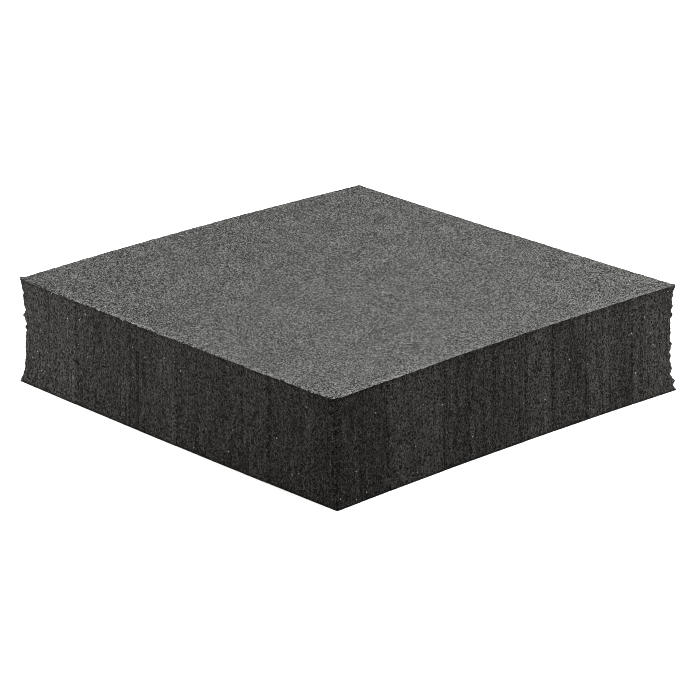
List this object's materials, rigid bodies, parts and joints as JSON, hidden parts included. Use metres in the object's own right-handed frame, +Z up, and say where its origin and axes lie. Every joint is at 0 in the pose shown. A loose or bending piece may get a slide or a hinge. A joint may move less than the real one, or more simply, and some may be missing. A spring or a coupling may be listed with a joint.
{
  "type": "anti-vibration pad",
  "caption": "Square block of dark, fine-celled rubber with waisted, knife-cut sides, set under machines and equipment to damp vibration.",
  "frame": {"origin": "middle of the bottom face's box, on the surface that the pad lies on", "axes": "+Z up through the thickness, X and Y along the sides; the worn corner is at -X -Y"},
  "size_m": [0.1013, 0.1031, 0.0237],
  "materials": {
    "rubber": "matt, fine open-celled grain"
  },
  "bodies": {
    "root": {"pad": "rubber"}
  },
  "joints": []
}
